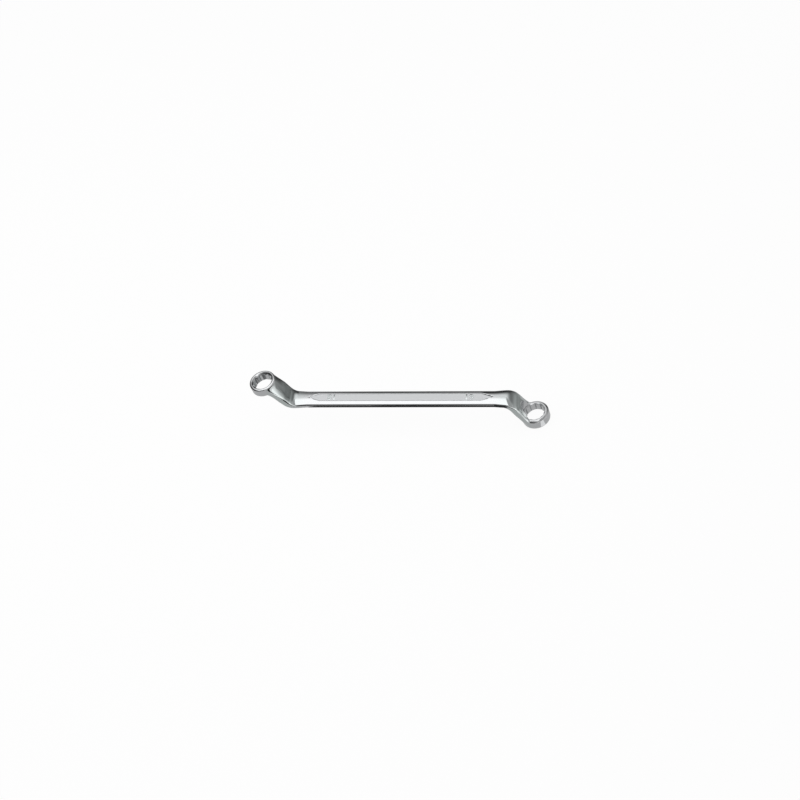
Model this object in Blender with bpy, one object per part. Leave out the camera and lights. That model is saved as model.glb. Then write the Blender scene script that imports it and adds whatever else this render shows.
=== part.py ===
"""Double-ended ring spanner with deep-offset heads, 18 mm and 19 mm across flats.

The tool is one drop forging with nothing fitted to it: a flat oval handle, a cranked neck at each end
and a ring head on each neck, with a twelve-point bore through it and a shallow pointed panel in each
broad face of the handle.

X runs along the handle from the 18 mm head to the 19 mm head, Y across the handle and Z square to its
broad faces. The origin is the middle of the overall box, on the handle's centre line. The 18 mm head
stands above the handle and the 19 mm head hangs below it. Each half is worked out in one form, handle
first and head downwards, and the 18 mm half is that form turned half round the Y axis.
"""

from collections import namedtuple
from math import ceil, cos, pi, radians, sin, sqrt, tan

import bmesh
import bpy
from mathutils import Matrix, Vector

MM = 0.001

# Overall size
overall_length = 310.0 * MM
overall_height = 67.4 * MM

# Heads: nut size, outside diameter and height along the bore
small_across_flats = 18.0 * MM
small_diameter = 27.6 * MM
small_height = 11.0 * MM
large_across_flats = 19.0 * MM
large_diameter = 29.6 * MM
large_height = 11.4 * MM
head_tilt = radians(10.0)
working_rim_radius = 1.2 * MM
back_rim_radius = 2.0 * MM

# Bores: a conical lead-in at each mouth, a little wider than the points of the profile
lead_in_margin = 0.45 * MM
lead_in_slope = radians(38.0)
bore_relief = 0.25 * MM
bore_points = 12

# Handle section, an oval whose fullness is two for an ellipse and more for a squarer one
handle_width = 19.4 * MM
handle_thickness = 8.4 * MM
handle_fullness = 2.6

# Necks: how far in from the tool's end the centre lines of handle and neck cross, and how the body
# bends and changes there. A neck's inner side faces the handle and its outer side the head's back.
neck_setback = 40.2 * MM
neck_slope = radians(52.0)
handle_bend_radius = 15.0 * MM
head_bend_radius = 9.0 * MM
flare_lead = 9.0 * MM
neck_outer_depth = 2.6 * MM
neck_inner_depth = 7.6 * MM
root_depth = 4.4 * MM
neck_fullness = 5.0
neck_width_share = 0.97

# Pointed panel sunk in each broad face, its points this far in from the tool's ends
panel_setback = 57.5 * MM
panel_width = 10.8 * MM
panel_tip_length = 12.6 * MM
panel_depth = 0.85 * MM

# Every cut runs this far past the surface that it opens
overrun = 12.0 * MM

# Fineness of the mesh
section_facets = 40
ring_facets = 72
rim_steps = 4
lead_steps = 4
neck_steps = 5
step_angle = radians(7.0)
sharp_angle = radians(32.0)
weld_distance = 0.001 * MM

steel_colour = (0.56, 0.57, 0.58, 1.0)
steel_roughness = 0.28
steel_metallic = 1.0


Head = namedtuple("Head", "name across_flats outside_diameter height")
Station = namedtuple("Station", "x z angle half_width outer_depth inner_depth fullness")

small_head = Head("head_18", small_across_flats, small_diameter, small_height)
large_head = Head("head_19", large_across_flats, large_diameter, large_height)


def clear_scene():
    """Empty the scene that the script starts in."""
    for item in list(bpy.data.objects):
        bpy.data.objects.remove(item, do_unlink=True)


def forged_steel():
    """Satin chrome on forged steel."""
    material = bpy.data.materials.new("satin_chrome")
    material.use_nodes = True
    shader = material.node_tree.nodes["Principled BSDF"]
    shader.inputs["Base Color"].default_value = steel_colour
    shader.inputs["Roughness"].default_value = steel_roughness
    shader.inputs["Metallic"].default_value = steel_metallic
    return material


def add_object(name, mesh_data):
    """Make a named object from a bmesh, in flat triangles, shaded smooth between its sharp edges."""
    bmesh.ops.recalc_face_normals(mesh_data, faces=mesh_data.faces)
    bmesh.ops.triangulate(mesh_data, faces=mesh_data.faces)
    mesh = bpy.data.meshes.new(name)
    mesh_data.to_mesh(mesh)
    mesh_data.free()
    mesh.shade_smooth()
    mesh.set_sharp_from_angle(angle=sharp_angle)
    item = bpy.data.objects.new(name, mesh)
    bpy.context.scene.collection.objects.link(item)
    return item


def outer_radius(head):
    return head.outside_diameter / 2


def point_radius(head):
    """Radius of the bore's twelve outer points, the corners of the nut."""
    return head.across_flats / sqrt(3.0)


def flank_radius(head):
    """Radius at which neighbouring flanks of the twelve-point profile meet on the inside."""
    return head.across_flats / 2 / cos(pi / bore_points)


def mouth_radius(head):
    return point_radius(head) + lead_in_margin


def head_centre(head):
    """Centre of a hanging head, placed so that its working rim touches the overall box."""
    flat_radius = outer_radius(head) - working_rim_radius
    flat_height = head.height / 2 - working_rim_radius
    reach_out = flat_radius * cos(head_tilt) + flat_height * sin(head_tilt) + working_rim_radius
    reach_down = flat_radius * sin(head_tilt) + flat_height * cos(head_tilt) + working_rim_radius
    return Vector((overall_length / 2 - reach_out, 0.0, reach_down - overall_height / 2))


def head_frame(head):
    """Matrix from a head's own axes, working face at -Z and bore along Z, to the hanging head."""
    return Matrix.Translation(head_centre(head)) @ Matrix.Rotation(-head_tilt, 4, "Y")


def half_turn(standing):
    """The turn that carries a hanging half to the standing one."""
    return Matrix.Rotation(pi if standing else 0.0, 4, "Y")


def ease(share):
    """Smooth step from nought to one."""
    return share * share * (3.0 - 2.0 * share)


def part_way(first, last, value):
    """How far a value has got from the first to the last, kept between nought and one."""
    return min(max((value - first) / (last - first), 0.0), 1.0)


def between(first, last, share):
    return first + (last - first) * share


def half_stations(head):
    """Sections of one half of the body, from the handle's middle to inside the head's bore.

    The centre line runs along the handle, turns down the neck on one arc and turns on a second arc
    into the head's middle plane, where it ends in the bore. The width grows evenly from just before
    the first arc to nearly the head's own width at the neck's end. On the way the neck's inner side
    swells towards the head's wall, its outer side thins, and the section grows squarer.
    """
    centre = head_centre(head)
    neck_start = overall_length / 2 - neck_setback
    turn_back = neck_slope + head_tilt
    down_to_plane = (centre.x - neck_start) * sin(head_tilt) - centre.z * cos(head_tilt)
    neck_line = down_to_plane / sin(turn_back)
    first_tangent = handle_bend_radius * tan(neck_slope / 2)
    second_tangent = head_bend_radius * tan(turn_back / 2)
    runs = [
        (neck_start - first_tangent - flare_lead, 0.0, 1),
        (flare_lead, 0.0, lead_steps),
        (handle_bend_radius * neck_slope, neck_slope, ceil(neck_slope / step_angle)),
        (neck_line - first_tangent - second_tangent, 0.0, neck_steps),
        (head_bend_radius * turn_back, -turn_back, ceil(turn_back / step_angle)),
    ]
    flare_from = runs[0][0]
    bend_from = flare_from + flare_lead
    neck_from = bend_from + runs[2][0]
    neck_to = neck_from + runs[3][0]
    end = neck_to + runs[4][0]

    def station(x, z, angle, run):
        flare = part_way(flare_from, neck_to, run)
        change = ease(part_way(bend_from, neck_to, run))
        swelling = part_way(neck_from, neck_to, run)
        rooting = ease(part_way(neck_to, end, run))
        swollen = between(handle_thickness / 2, neck_inner_depth, swelling)
        return Station(
            x, z, angle,
            between(handle_width / 2, outer_radius(head) * neck_width_share, flare),
            between(handle_thickness / 2, neck_outer_depth, change),
            between(swollen, root_depth, rooting),
            between(handle_fullness, neck_fullness, ease(part_way(bend_from, neck_from, run))),
        )

    x, z, angle, run = 0.0, 0.0, 0.0, 0.0
    stations = [station(x, z, angle, run)]
    for length, turn, steps in runs:
        for _ in range(steps):
            step = length / steps
            middle = angle + turn / steps / 2
            chord = step if turn == 0 else step * sin(turn / steps / 2) / (turn / steps / 2)
            x += chord * cos(middle)
            z -= chord * sin(middle)
            angle += turn / steps
            run += step
            stations.append(station(x, z, angle, run))
    return stations


def section_loop(mesh_data, place, side):
    """One loop of the body's oval section at a station; side is -1 on the standing half."""
    loop = []
    for index in range(section_facets):
        around = 2.0 * pi * (index + 0.5) / section_facets
        across, through = cos(around), sin(around)
        fullness = place.fullness
        spread = (abs(across) ** fullness + abs(through) ** fullness) ** (-1 / fullness)
        y = place.half_width * across * spread
        depth = place.inner_depth if through * side < 0 else place.outer_depth
        up = depth * through * spread
        loop.append(mesh_data.verts.new((
            side * place.x + up * sin(place.angle),
            y,
            side * place.z + up * cos(place.angle),
        )))
    return loop


def forged_body():
    """Handle and both necks: oval sections bridged along the cranked centre line."""
    mesh_data = bmesh.new()
    standing = [section_loop(mesh_data, place, -1.0) for place in reversed(half_stations(small_head))]
    hanging = [section_loop(mesh_data, place, 1.0) for place in half_stations(large_head)[1:]]
    loops = standing + hanging
    for first, second in zip(loops, loops[1:]):
        for index in range(section_facets):
            following = (index + 1) % section_facets
            mesh_data.faces.new((first[index], first[following], second[following], second[index]))
    mesh_data.faces.new(loops[0])
    mesh_data.faces.new(loops[-1])
    return add_object("spanner_body", mesh_data)


def turned_solid(name, profile, frame):
    """Spin a profile of (radius, height) points, which starts and ends on the axis, about Z.

    The spin starts half a facet round, so that no facet's edge runs into a point of the bore.
    """
    mesh_data = bmesh.new()
    start = pi / ring_facets
    points = [
        mesh_data.verts.new((radius * cos(start), radius * sin(start), height))
        for radius, height in profile
    ]
    edges = [mesh_data.edges.new(pair) for pair in zip(points, points[1:])]
    bmesh.ops.spin(
        mesh_data, geom=points + edges, cent=(0.0, 0.0, 0.0), axis=(0.0, 0.0, 1.0),
        angle=2.0 * pi, steps=ring_facets, use_merge=True,
    )
    bmesh.ops.remove_doubles(mesh_data, verts=mesh_data.verts, dist=weld_distance)
    item = add_object(name, mesh_data)
    item.matrix_world = frame
    return item


def ring_blank(head, frame):
    """The head before broaching: a disc with a tight round on the working rim and a fuller one behind."""
    radius = outer_radius(head)
    half_height = head.height / 2
    profile = [(0.0, -half_height)]
    for step in range(rim_steps + 1):
        around = pi / 2 * step / rim_steps
        profile.append((
            radius - working_rim_radius * (1.0 - sin(around)),
            -half_height + working_rim_radius * (1.0 - cos(around)),
        ))
    for step in range(rim_steps + 1):
        around = pi / 2 * step / rim_steps
        profile.append((
            radius - back_rim_radius * (1.0 - cos(around)),
            half_height - back_rim_radius * (1.0 - sin(around)),
        ))
    profile.append((0.0, half_height))
    return turned_solid(head.name + "_blank", profile, frame)


def broach(head, frame):
    """Twelve-point prism: two hexagons of the nut size, one turned by half a flat."""
    mesh_data = bmesh.new()
    half_length = head.height / 2 + overrun
    corners = []
    for index in range(2 * bore_points):
        around = pi * index / bore_points
        radius = point_radius(head) if index % 2 == 0 else flank_radius(head)
        corners.append(mesh_data.verts.new((radius * cos(around), radius * sin(around), -half_length)))
    base = mesh_data.faces.new(corners)
    raised = bmesh.ops.extrude_face_region(mesh_data, geom=[base])["geom"]
    top = [element for element in raised if isinstance(element, bmesh.types.BMVert)]
    bmesh.ops.translate(mesh_data, verts=top, vec=(0.0, 0.0, 2.0 * half_length))
    item = add_object(head.name + "_broach", mesh_data)
    item.matrix_world = frame
    return item


def lead_in_cutter(head, frame):
    """Turned cutter for both lead-in cones, which also clears the neck off the bore's back mouth."""
    core = flank_radius(head) - bore_relief
    rim = mouth_radius(head) + bore_relief
    depth = (mouth_radius(head) - core) * tan(lead_in_slope)
    half_height = head.height / 2
    rim_height = half_height + bore_relief * tan(lead_in_slope)
    end = half_height + overrun
    profile = [
        (0.0, -end),
        (rim, -end),
        (rim, -rim_height),
        (core, -half_height + depth),
        (core, half_height - depth),
        (rim, rim_height),
        (rim, end),
        (0.0, end),
    ]
    return turned_solid(head.name + "_lead_in", profile, frame)


def panel_cutter(name, side):
    """Prism of the panel's outline, a bar with a point at each end, from its floor outwards."""
    mesh_data = bmesh.new()
    half_length = overall_length / 2 - panel_setback
    shoulder = half_length - panel_tip_length
    half_width = panel_width / 2
    outline = [
        (-half_length, 0.0),
        (-shoulder, -half_width),
        (shoulder, -half_width),
        (half_length, 0.0),
        (shoulder, half_width),
        (-shoulder, half_width),
    ]
    floor = side * (handle_thickness / 2 - panel_depth)
    corners = [mesh_data.verts.new((x, y, floor)) for x, y in outline]
    base = mesh_data.faces.new(corners)
    raised = bmesh.ops.extrude_face_region(mesh_data, geom=[base])["geom"]
    top = [element for element in raised if isinstance(element, bmesh.types.BMVert)]
    bmesh.ops.translate(mesh_data, verts=top, vec=(0.0, 0.0, side * overrun))
    return add_object(name, mesh_data)


def combine(body, tools, operation, name):
    """Join blanks to the body, or cut with tools, and keep them as wire guides in a collection."""
    group = bpy.data.collections.new(name)
    for tool in tools:
        group.objects.link(tool)
        tool.hide_render = True
        tool.display_type = "WIRE"
    modifier = body.modifiers.new(name, "BOOLEAN")
    modifier.operation = operation
    modifier.solver = "EXACT"
    modifier.operand_type = "COLLECTION"
    modifier.collection = group


def build():
    clear_scene()
    body = forged_body()
    body.data.materials.append(forged_steel())
    frames = [
        (small_head, half_turn(True) @ head_frame(small_head)),
        (large_head, half_turn(False) @ head_frame(large_head)),
    ]
    blanks = [ring_blank(head, frame) for head, frame in frames]
    cutters = [broach(head, frame) for head, frame in frames]
    cutters += [lead_in_cutter(head, frame) for head, frame in frames]
    cutters += [panel_cutter("upper_panel", 1.0), panel_cutter("lower_panel", -1.0)]
    combine(body, blanks, "UNION", "ring_blanks")
    combine(body, cutters, "DIFFERENCE", "cutters")


build()
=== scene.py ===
"""Looks of a double-ended ring spanner with deep-offset heads, 18 mm and 19 mm across flats.

The spanner is one chrome-plated forging. Its skin is made here as grids of points, row by row: the
handle with its sunk panels and both cranked necks, the two ring heads with their twelve-point
bores, and a blending surface where each neck grows out of its ring. The stage is a plain pale
studio.

X runs along the handle from the 18 mm head to the 19 mm head, Y across it and Z square to its broad
faces. Each half is worked out in one form, handle first and head downwards; the 18 mm half is that
form turned half round the Y axis.
"""

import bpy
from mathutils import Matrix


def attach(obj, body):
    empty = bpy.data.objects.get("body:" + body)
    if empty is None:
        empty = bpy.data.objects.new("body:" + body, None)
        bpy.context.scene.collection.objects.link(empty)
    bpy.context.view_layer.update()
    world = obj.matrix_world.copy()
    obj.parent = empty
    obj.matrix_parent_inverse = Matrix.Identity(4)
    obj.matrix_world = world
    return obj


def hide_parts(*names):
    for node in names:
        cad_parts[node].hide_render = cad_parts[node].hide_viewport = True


bl_info = {
    "name": "Ring Spanner",
    "version": (1, 0, 0),
    "blender": (4, 5, 0),
    "location": "3D View > Sidebar > Spanner",
    "description": "Builds a chrome double-ended ring spanner and a plain studio round it",
    "category": "Object",
}

from math import cos, pi, radians, sin, sqrt, tan
from types import SimpleNamespace

import bmesh
import bpy
import numpy as np
from mathutils import Matrix, Vector

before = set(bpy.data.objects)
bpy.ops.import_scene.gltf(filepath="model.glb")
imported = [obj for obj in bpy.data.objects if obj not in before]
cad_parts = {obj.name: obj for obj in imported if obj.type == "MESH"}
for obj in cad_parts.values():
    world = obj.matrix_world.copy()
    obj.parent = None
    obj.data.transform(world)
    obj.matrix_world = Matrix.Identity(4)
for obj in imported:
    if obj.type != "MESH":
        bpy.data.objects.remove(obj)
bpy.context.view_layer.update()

MM = 0.001


# ---------------- settings


def length_setting(name, millimetres, description):
    return bpy.props.FloatProperty(
        name=name, description=description, default=millimetres * MM, unit="LENGTH")


def angle_setting(name, degrees, description):
    return bpy.props.FloatProperty(
        name=name, description=description, default=radians(degrees), subtype="ANGLE")


def number_setting(name, default, description, low, high):
    return bpy.props.FloatProperty(
        name=name, description=description, default=default, min=low, max=high)


def share_setting(name, default, description):
    return bpy.props.FloatProperty(
        name=name, description=description, default=default, min=0.0, max=1.0, subtype="FACTOR")


def colour_setting(name, default, description):
    return bpy.props.FloatVectorProperty(
        name=name, description=description, default=default, subtype="COLOR", min=0.0, max=1.0)


class SpannerSizes(bpy.types.PropertyGroup):
    """Sizes of the spanner."""

    overall_length: length_setting("Overall Length", 310.0, "From end to end, over both heads")
    overall_height: length_setting(
        "Overall Height", 67.4, "From one head's working face to the other's, square to the handle")
    small_across_flats: length_setting(
        "Small Nut", 18.0, "Across flats of the nut that the small head fits")
    small_diameter: length_setting(
        "Small Head Diameter", 27.6, "Outside diameter of the small head")
    small_height: length_setting(
        "Small Head Height", 11.0, "Height of the small head along its bore")
    large_across_flats: length_setting(
        "Large Nut", 19.0, "Across flats of the nut that the large head fits")
    large_diameter: length_setting(
        "Large Head Diameter", 29.6, "Outside diameter of the large head")
    large_height: length_setting(
        "Large Head Height", 11.4, "Height of the large head along its bore")
    head_tilt: angle_setting("Head Tilt", 10.0, "Angle between the heads and the handle")
    working_rim_radius: length_setting(
        "Working Rim Radius", 1.45, "Round on the rim of a head's working face")
    back_rim_bevel: length_setting("Back Rim Bevel", 2.0, "Bevel on the rim of a head's back")
    lead_in_margin: length_setting(
        "Lead-in Margin", 0.45, "How far a bore's mouth is outside the points of its profile")
    countersink: length_setting(
        "Countersink", 0.7, "How far the working side's mouth is outside the other mouth")
    countersink_slope: angle_setting(
        "Countersink Slope", 45.0, "Slope of the working side's mouth, from the face")
    lead_in_slope: angle_setting(
        "Lead-in Slope", 38.0, "Slope of the conical lead-in, from the head's face")
    handle_width: length_setting("Handle Width", 19.4, "Across the oval handle")
    handle_thickness: length_setting("Handle Thickness", 8.4, "Through the oval handle")
    handle_fullness: number_setting(
        "Handle Fullness", 2.6, "Two for an ellipse and more for a squarer oval", 2.0, 8.0)
    neck_fullness: number_setting(
        "Neck Fullness", 5.2, "Squareness of the necks' section", 2.0, 12.0)
    neck_crown: length_setting(
        "Neck Crown", 1.0, "How much a neck's broad faces fall away towards their sides")
    neck_setback: length_setting(
        "Neck Setback", 40.2, "From the tool's end to where handle and neck cross")
    neck_slope: angle_setting("Neck Slope", 52.0, "Steepness of the necks")
    handle_bend_radius: length_setting(
        "Handle Bend", 15.0, "Radius of the bend between handle and neck")
    head_bend_radius: length_setting("Head Bend", 9.0, "Radius of the bend between neck and head")
    flare_lead: length_setting(
        "Flare Lead", 9.0, "How far before the bend the handle starts to widen")
    neck_outer_depth: length_setting(
        "Neck Outer Depth", 2.6, "From the neck's centre line to its outer side, at the head")
    neck_fillet: length_setting(
        "Neck Fillet", 1.4, "How much the neck's outer side rises where it meets the head's back")
    neck_inner_depth: length_setting(
        "Neck Inner Depth", 7.6, "From the neck's centre line to its inner side, at the head")
    neck_width_share: number_setting(
        "Neck Width Share", 0.97, "Width of a neck at its head, as a share of the head's", 0.5, 1.0)
    panel_setback: length_setting(
        "Panel Setback", 57.5, "From the tool's end to the point of a sunk panel")
    panel_width: length_setting("Panel Width", 10.2, "Across a sunk panel")
    panel_tip_length: length_setting("Panel Tip Length", 12.6, "Length of a panel's pointed end")
    panel_depth: length_setting("Panel Depth", 0.85, "From the handle's crown to a panel's floor")
    panel_wall: length_setting("Panel Wall", 0.6, "Width of the slope round a panel's floor")
    number_height: length_setting(
        "Number Height", 7.2, "Height of the raised size numbers, across the handle")
    number_rise: length_setting(
        "Number Rise", 0.4, "How far the size numbers stand up from the panel's floor")
    number_setback: length_setting(
        "Number Setback", 24.8, "From a panel's point to the middle of its size number")


class SpannerFinish(bpy.types.PropertyGroup):
    """Colours and finish of the spanner."""

    chrome_colour: colour_setting("Chrome", (0.60, 0.61, 0.62), "Colour of the polished chrome")
    neck_colour: colour_setting(
        "Neck Chrome", (0.55, 0.60, 0.59), "Colour of the chrome on the forged necks")
    # Colour of the painted shade in the bores' notches and at the panels' wall feet
    shade_colour: colour_setting(
        "Painted Shade", (0.16, 0.17, 0.18), "Colour of the painted shade in the bores' notches and at the panels' wall feet")
    worn_colour: colour_setting(
        "Worn Edges", (0.72, 0.72, 0.72), "Colour of edges that use has rubbed bright")
    panel_colour: colour_setting(
        "Panel Floor", (0.61, 0.62, 0.63), "Colour of the blasted panel floors")
    polished_roughness: share_setting(
        "Polished Roughness", 0.09, "Roughness of the polished chrome")
    blasted_roughness: share_setting(
        "Blasted Roughness", 0.34, "Roughness of the blasted panel floors")
    bore_roughness: share_setting("Bore Roughness", 0.20, "Roughness of the broached bores")
    ripple_depth: length_setting(
        "Forging Ripple", 0.035, "Depth of the ripple that forging left under the necks' plate")
    scratch_depth: length_setting(
        "Scratch Depth", 0.003, "Depth of the fine polishing lines along the tool")
    grain_depth: length_setting(
        "Grain Depth", 0.02, "Depth of the blasted grain on the panel floors")
    broach_depth: length_setting(
        "Broach Line Depth", 0.02, "Depth of the broach's lines in the bores")


# ---------------- shared formulas


def ease(share):
    """Smooth step: three times the square less twice the cube."""
    return share * share * (3.0 - 2.0 * share)


def part_way(first, last, value):
    """How far a value has got from the first to the last, kept between nought and one."""
    return np.clip((value - first) / (last - first), 0.0, 1.0)


def between(first, last, share):
    return first + (last - first) * share


def soft_start(share, bend):
    """A share that starts level, bends up over the given part, then runs straight to one."""
    curved = share * share / (2.0 * bend)
    return np.where(share < bend, curved, share - bend / 2.0) / (1.0 - bend / 2.0)


def unit(vectors):
    return vectors / np.linalg.norm(vectors, axis=-1, keepdims=True)


# Tracks of the skin along the body: over a broad face, from its middle to the foot and to the top
# of a panel's wall, and down a narrow flank
face_tracks = 64
floor_tracks = 20
wall_tracks = 26
flank_tracks = 21

# At a head, the flank track on the oval's corner, and how far in the outer side's tracks draw
edge_track = 7
drawn_in = 0.8

# Columns of a head: sectors from a point of the bore to the notch beside it, each with finer steps
# at its two ends. The neck's root takes the columns up to the root's angle on both sides, and at
# its foot those spread further round
sector = radians(15.0)
sector_steps = np.radians([0.0, 0.4, 1.2, 4.0, 7.5, 11.0, 13.8, 14.6])
root_angle = 4 * sector
foot_spread = radians(11.0)
bevel_spread = radians(13.0)
tiny = 1e-9

# How much of the bores' finish their lead-ins and scoops have
half_bored = 0.6


def half_form(sizes, across_flats, diameter, height):
    """Every length and place of one half that follows from the sizes."""
    tilt = sizes.head_tilt
    slope = sizes.neck_slope
    radius = diameter / 2
    rim = sizes.working_rim_radius
    end = sizes.overall_length / 2
    flat, upright = radius - rim, height / 2 - rim
    reach_out = flat * cos(tilt) + upright * sin(tilt) + rim
    reach_down = flat * sin(tilt) + upright * cos(tilt) + rim
    centre = np.array((end - reach_out, 0.0, reach_down - sizes.overall_height / 2))
    crossing = end - sizes.neck_setback
    down_to_plane = (centre[0] - crossing) * sin(tilt) - centre[2] * cos(tilt)
    neck_line = down_to_plane / sin(slope + tilt)
    first_tangent = sizes.handle_bend_radius * tan(slope / 2)
    second_tangent = sizes.head_bend_radius * tan((slope + tilt) / 2)
    bend_from = crossing - first_tangent
    neck_from = bend_from + sizes.handle_bend_radius * slope
    foot_clearance = 1.15
    return SimpleNamespace(
        sizes=sizes, across_flats=across_flats, radius=radius, height=height, centre=centre,
        along=np.array((cos(tilt), 0.0, sin(tilt))),
        across=np.array((0.0, 1.0, 0.0)),
        upward=np.array((-sin(tilt), 0.0, cos(tilt))),
        neck_way=np.array((cos(slope), 0.0, -sin(slope))),
        neck_side=np.array((sin(slope), 0.0, cos(slope))),
        flare_from=bend_from - sizes.flare_lead,
        bend_from=bend_from,
        neck_from=neck_from,
        neck_to=neck_from + neck_line - first_tangent - second_tangent,
        mouth=across_flats / sqrt(3.0) + sizes.lead_in_margin,
        wall_foot=-height / 2 + rim * foot_clearance,
        panel_end=end - sizes.panel_setback,
    )


def centre_line(form, run):
    """Place and slope of the centre line: straight, one arc, then straight down the neck."""
    slope = form.sizes.neck_slope
    bend = form.sizes.handle_bend_radius
    angle = slope * part_way(form.bend_from, form.neck_from, run)
    beyond = np.maximum(run - form.neck_from, 0.0)
    x = np.minimum(run, form.bend_from) + bend * np.sin(angle) + beyond * cos(slope)
    z = -bend * (1.0 - np.cos(angle)) - beyond * sin(slope)
    return x, z, angle


def section(form, run):
    """Half width, outer and inner depth, fullness and crown of the oval section along the run."""
    sizes = form.sizes
    half_thickness = sizes.handle_thickness / 2
    fillet_part, soft_part = 0.7, 0.5
    flared = part_way(form.flare_from, form.neck_to, run)
    changed = part_way(form.bend_from, form.neck_to, run)
    started = soft_start(changed, soft_part)
    squared = ease(part_way(form.bend_from, form.neck_from, run))
    fillet_to = between(form.neck_from, form.neck_to, fillet_part)
    fillet = sizes.neck_fillet * part_way(form.neck_from, fillet_to, run) ** 2
    return (
        between(sizes.handle_width / 2, form.radius * sizes.neck_width_share, flared),
        between(half_thickness, sizes.neck_outer_depth, ease(changed)) + fillet,
        between(half_thickness, sizes.neck_inner_depth, started),
        between(sizes.handle_fullness, sizes.neck_fullness, squared),
        sizes.neck_crown * started,
    )


# ---------------- the skin's grids


def panel_share(form, x, y, wall):
    """How far a point is down a panel's wall: an eased step of its distance in from the outline."""
    sizes = form.sizes
    half_width = sizes.panel_width / 2
    lean = sizes.panel_tip_length / half_width
    from_side = half_width - np.abs(y)
    from_tip = (form.panel_end - x - lean * np.abs(y)) / np.hypot(1.0, lean)
    return ease(part_way(0.0, wall, np.minimum(from_side, from_tip)))


def track_shares(form, run):
    """Each track's place on the unit oval, for every row of the body.

    On the broad faces a track's share across is chosen, evenly in the necks and gathered at the
    panel's walls in the handle, and its height is what the oval leaves: the n-th root of one less
    the n-th power of the share. On the flanks the tracks are at even angles of the oval. Towards a
    head the faces' tracks move to the sines of its columns' angles, so that they run on straight,
    and the outer side's draw in, so that its edge runs on to the edge of the head's back.
    """
    sizes, wall = form.sizes, form.sizes.panel_wall
    least_edge, wall_room, drawn_part = 1.5, 1.15, 0.25
    half_width, _, _, fullness, _ = section(form, run)
    fullness = fullness[:, None]
    corner = 2.0 ** (-1.0 / fullness)
    half_face = face_tracks / 2
    place = np.arange(face_tracks + 1)[None, :] - half_face
    step = np.abs(place)
    to_point = np.clip((form.panel_end - run) / sizes.panel_tip_length, 0.0, 1.0)
    edge = np.maximum(sizes.panel_width / 2 * to_point, wall * least_edge)[:, None]
    outer = edge / half_width[:, None]
    inner = (edge - wall * wall_room) / half_width[:, None]
    up_wall = (step - floor_tracks) / (wall_tracks - floor_tracks)
    past_wall = (step - wall_tracks) / (half_face - wall_tracks)
    handle = np.where(
        step <= floor_tracks, inner * step / floor_tracks,
        np.where(step <= wall_tracks, between(inner, outer, up_wall),
                 between(outer, corner, past_wall)))
    mix = ease(part_way(form.panel_end, form.bend_from, run))[:, None]
    across = np.sign(place) * between(handle, corner * step / half_face, mix)
    drawn_to = between(form.neck_from, form.neck_to, drawn_part)
    drawn = ease(part_way(form.bend_from, drawn_to, run))[:, None]
    theta = root_columns()
    mouth_sines = np.sin(theta) / sin(root_angle)
    foot_sines = np.sin(warped(theta, foot_spread)) / sin(root_angle + foot_spread)
    outer_across = between(across, corner * drawn_in * mouth_sines, drawn)
    inner_across = between(across, corner * foot_sines, drawn)
    outer_above, inner_above = (
        (1.0 - np.abs(part) ** fullness) ** (1.0 / fullness)
        for part in (outer_across, inner_across))
    track = np.arange(1, flank_tracks)[None, :]
    first = np.arctan2(outer_above[:, -1:], outer_across[:, -1:])
    past_edge = (track - edge_track) / (flank_tracks - edge_track)
    shifted = np.where(
        track <= edge_track, between(first, pi / 4, track / edge_track),
        between(pi / 4, -pi / 4, past_edge))
    turn = between(between(pi / 4, -pi / 4, track / flank_tracks), shifted, drawn)
    powers = np.abs(np.cos(turn)) ** fullness + np.abs(np.sin(turn)) ** fullness
    spread = powers ** (-1.0 / fullness)
    flank_across, flank_above = np.cos(turn) * spread, np.sin(turn) * spread
    shares = np.concatenate(
        [outer_across, flank_across, -inner_across, -flank_across[:, ::-1]], axis=1)
    heights = np.concatenate(
        [outer_above, flank_above, -inner_above, flank_above[:, ::-1]], axis=1)
    return shares, heights


def body_rows(form, run):
    """The skin of handle and neck, with its panel and painted-shade masks: each row is the oval
    section.

    A point is the centre line's place plus its share of the half width across, and plus its height
    along the line's normal, which is its share of the section's depth less the crown times the
    square of the share across. Over a panel the height is carried to the floor's. Painted shade,
    for the dark line where a panel's floor meets its wall, lies on the wall and at its foot.
    """
    sizes = form.sizes
    shade_reach = 2.2
    x, z, angle = (value[:, None] for value in centre_line(form, run))
    half_width, outer, inner, _, crown = (value[:, None] for value in section(form, run))
    shares, heights = track_shares(form, run)
    y = half_width * shares
    up = (np.where(heights > 0, outer, inner) - crown * shares ** 2) * heights
    on_face = np.abs(heights) > np.abs(shares)
    sunk = np.where(on_face, panel_share(form, run[:, None], y, sizes.panel_wall), 0.0)
    # Mask of painted shade: on a panel's wall and just past its foot
    clear = panel_share(form, run[:, None], y, sizes.panel_wall * shade_reach)
    floor = np.sign(up) * (sizes.handle_thickness / 2 - sizes.panel_depth)
    up = between(up, floor, sunk)
    points = np.stack([x + up * np.sin(angle), y, z + up * np.cos(angle)], axis=-1)
    return points, sunk, sunk * (1.0 - clear)


def on_head(form, rho, theta, zeta):
    """Points of a head: rho from the bore's axis, theta round it from the neck, zeta up it."""
    rho, theta, zeta = np.broadcast_arrays(rho, theta, zeta)
    return (
        form.centre
        - (rho * np.cos(theta))[..., None] * form.along
        + (rho * np.sin(theta))[..., None] * form.across
        + zeta[..., None] * form.upward
    )


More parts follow.
